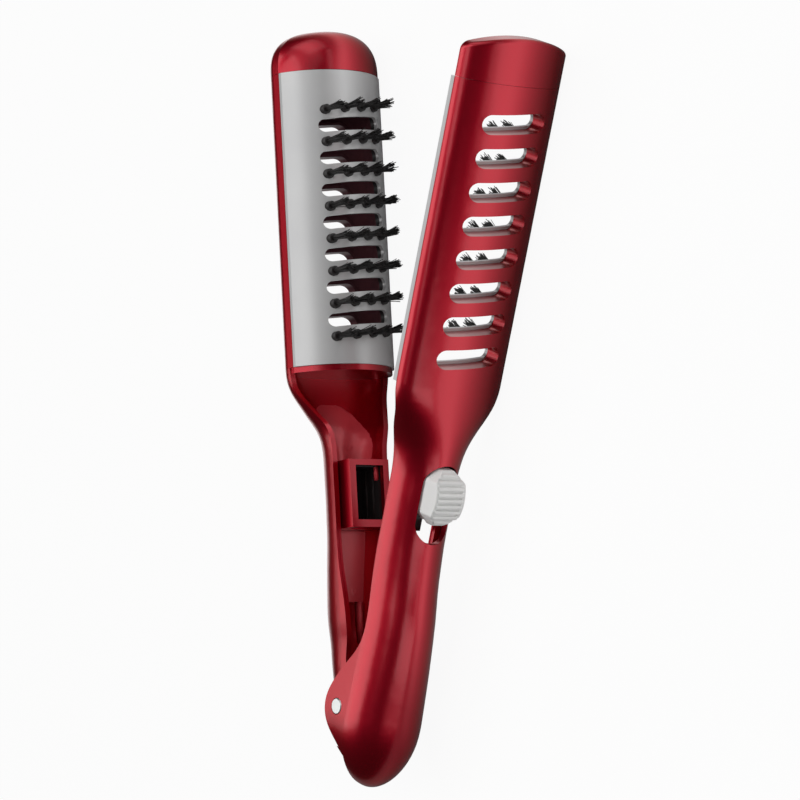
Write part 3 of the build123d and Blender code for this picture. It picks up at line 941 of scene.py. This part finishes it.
def makeBars(name, plan):
    form = bmesh.new()
    for alongs, heights, acrosses in plan["sizes"]:
        corners = [
            form.verts.new(armPoint("base_arm", along, height, across))
            for along in alongs for height in heights for across in acrosses
        ]
        for side in barBuild["sides"]:
            form.faces.new([corners[k] for k in side])
    bmesh.ops.bevel(form, geom=form.edges, offset=barBuild["bevel"] * mm,
                    segments=barBuild["segments"], affect="EDGES")
    bmesh.ops.recalc_face_normals(form, faces=form.faces)
    look, slot = barBuild["kinds"][plan["kind"]]
    thing = formObject(name, form, looks[look], crease=math.pi)
    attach(thing, "base_arm")


for name, plan in bars.items():
    makeBars(name, plan)
print("neck and catch details made")


# the white paper under the object, and how the camera and polished surfaces see it
room = {
    "paper": (0.82, 0.82, 0.82, 1),
    "paperRoughness": 0.9,
    "floorHalf": 4.0,
    "seenWhite": 0.93,             # share of plain white that the camera sees in the floor
    "mirroredWhite": 0.85,         # and that polished surfaces see
    "mirroredLevel": 1.35,
    "contactLevel": 0.02,          # how dark they see it where the object all but touches it
    "contactReach": (8 * mm, 56 * mm),
    "tailEnd": ((-0.148, -0.072), (0.15, 1.0)),    # along the floor, and the levels from and to
    "headEnd": ((0.15, 0.27), (1.0, 0.15)),
    "worldLevel": 0.02,
}


def makeFloor():
    half = room["floorHalf"]
    corners = [(-half, -half, 0), (half, -half, 0), (half, half, 0), (-half, half, 0)]
    mesh = bpy.data.meshes.new("floor")
    mesh.from_pydata(corners, [], [(0, 1, 2, 3)])
    floor = addObject("floor", mesh)
    material = bpy.data.materials.new("floorPaper")
    material.use_nodes = True
    tree = material.node_tree
    paper = tree.nodes["Principled BSDF"]
    paper.inputs["Base Color"].default_value = room["paper"]
    paper.inputs["Roughness"].default_value = room["paperRoughness"]
    path = addNode(tree, "ShaderNodeLightPath", {}).outputs
    polished = addMath(tree, "MAXIMUM", path["Is Glossy Ray"], path["Is Transmission Ray"])
    seen = addMath(tree, "MULTIPLY", path["Is Camera Ray"], room["seenWhite"])
    mirrored = addMath(tree, "MULTIPLY", polished, room["mirroredWhite"])

    # the object's own contact shade, which dims the mirrored floor close under it
    contact = addNode(tree, "ShaderNodeMapRange", {
        "Value": path["Ray Length"],
        "From Min": room["contactReach"][0],
        "From Max": room["contactReach"][1],
        "To Min": room["contactLevel"],
        "To Max": room["mirroredLevel"],
    })
    level = contact.outputs["Result"]

    # the lit paper ends past both ends of the object, and polished surfaces find it dim there
    place = addNode(tree, "ShaderNodeTexCoord", {})
    spot = addNode(tree, "ShaderNodeSeparateXYZ", {"Vector": place.outputs["Object"]})
    for (near, far), (nearLevel, farLevel) in (room["tailEnd"], room["headEnd"]):
        ends = addNode(tree, "ShaderNodeMapRange", {
            "Value": spot.outputs["X"],
            "From Min": near,
            "From Max": far,
            "To Min": nearLevel,
            "To Max": farLevel,
        }, interpolation_type="SMOOTHSTEP")
        level = addMath(tree, "MULTIPLY", level, ends.outputs["Result"])
    strength = addNode(tree, "ShaderNodeMix", {"Factor": polished, "A": 1.0, "B": level})
    white = addNode(tree, "ShaderNodeEmission", {"Strength": strength.outputs["Result"]})
    blend = addNode(tree, "ShaderNodeMixShader", {
        "Fac": addMath(tree, "MAXIMUM", seen, mirrored),
        1: paper.outputs["BSDF"],
        2: white.outputs["Emission"],
    })
    tree.links.new(blend.outputs["Shader"], tree.nodes["Material Output"].inputs["Surface"])
    floor.data.materials.append(material)


# plain white to the camera, and all but dark to everything else
def makeWorld():
    world = bpy.data.worlds.new("room")
    scene.world = world
    world.use_nodes = True
    tree = world.node_tree
    air = tree.nodes["Background"]
    air.inputs["Color"].default_value = plainWhite
    air.inputs["Strength"].default_value = room["worldLevel"]
    white = addNode(tree, "ShaderNodeBackground", {"Color": plainWhite})
    path = addNode(tree, "ShaderNodeLightPath", {})
    blend = addNode(tree, "ShaderNodeMixShader", {
        "Fac": path.outputs["Is Camera Ray"],
        1: air.outputs["Background"],
        2: white.outputs["Background"],
    })
    tree.links.new(blend.outputs["Shader"], tree.nodes["World Output"].inputs["Surface"])


# brightness is what the lamp's face shows to a mirror
lamps = {
    "backStrip": {
        "where": (0.29, 0.85, 1.36), "aim": (0.29, 0, 0),
        "size": (1.6, 1.0), "brightness": 1.75,
    },
    "topSide": {
        "where": (0.32, -0.24, 1.45), "aim": (0, 0, 0),
        "size": (1.0, 1.0), "brightness": 1.4,
    },
    "frontLow": {
        "where": (0.52, -1.2, 0.1), "aim": (0.3, 0, 0),
        "size": (1.8, 0.22), "brightness": 0.8,
    },
    "headSide": {
        "where": (0.95, -0.45, 0.86), "aim": (0, 0, 0),
        "size": (1.5, 1.0), "brightness": 0.42,
    },
    "headEnd": {
        "where": (1.03, -0.16, 0.42), "aim": (0.125, 0.04, 0.02),
        "size": (0.9, 0.66), "brightness": 0.72,
    },
    "tailCard": {
        "where": (-0.23, 0.95, 0.68), "aim": (-0.1, 0, 0),
        "size": (0.3, 0.36), "brightness": 0.95,
    },
    "handleStrip": {
        "where": (-0.215, -0.42, 0.18), "aim": (0, 0, 0),
        "size": (0.12, 0.36), "brightness": 1.5,
    },
    "fill": {
        "where": (0.1, -1.0, 1.2), "aim": (0, 0, 0),
        "size": (1.6, 1.2), "brightness": 1.6, "mirrored": False,
    },
}


def makeSoftbox(name, lamp):
    data = bpy.data.lights.new(name, "AREA")
    data.shape = "RECTANGLE"
    data.size, data.size_y = lamp["size"]
    data.energy = lamp["brightness"] * math.pi * data.size * data.size_y
    where = Vector(lamp["where"])
    softbox = bpy.data.objects.new(name, data)
    scene.collection.objects.link(softbox)
    turn = (Vector(lamp["aim"]) - where).to_track_quat("-Z", "Y").to_matrix().to_4x4()
    softbox.matrix_world = Matrix.Translation(where) @ turn
    softbox.visible_camera = False
    softbox.visible_glossy = lamp.get("mirrored", True)


makeFloor()
makeWorld()
for name, lamp in lamps.items():
    makeSoftbox(name, lamp)
print("floor, room and lamps placed")
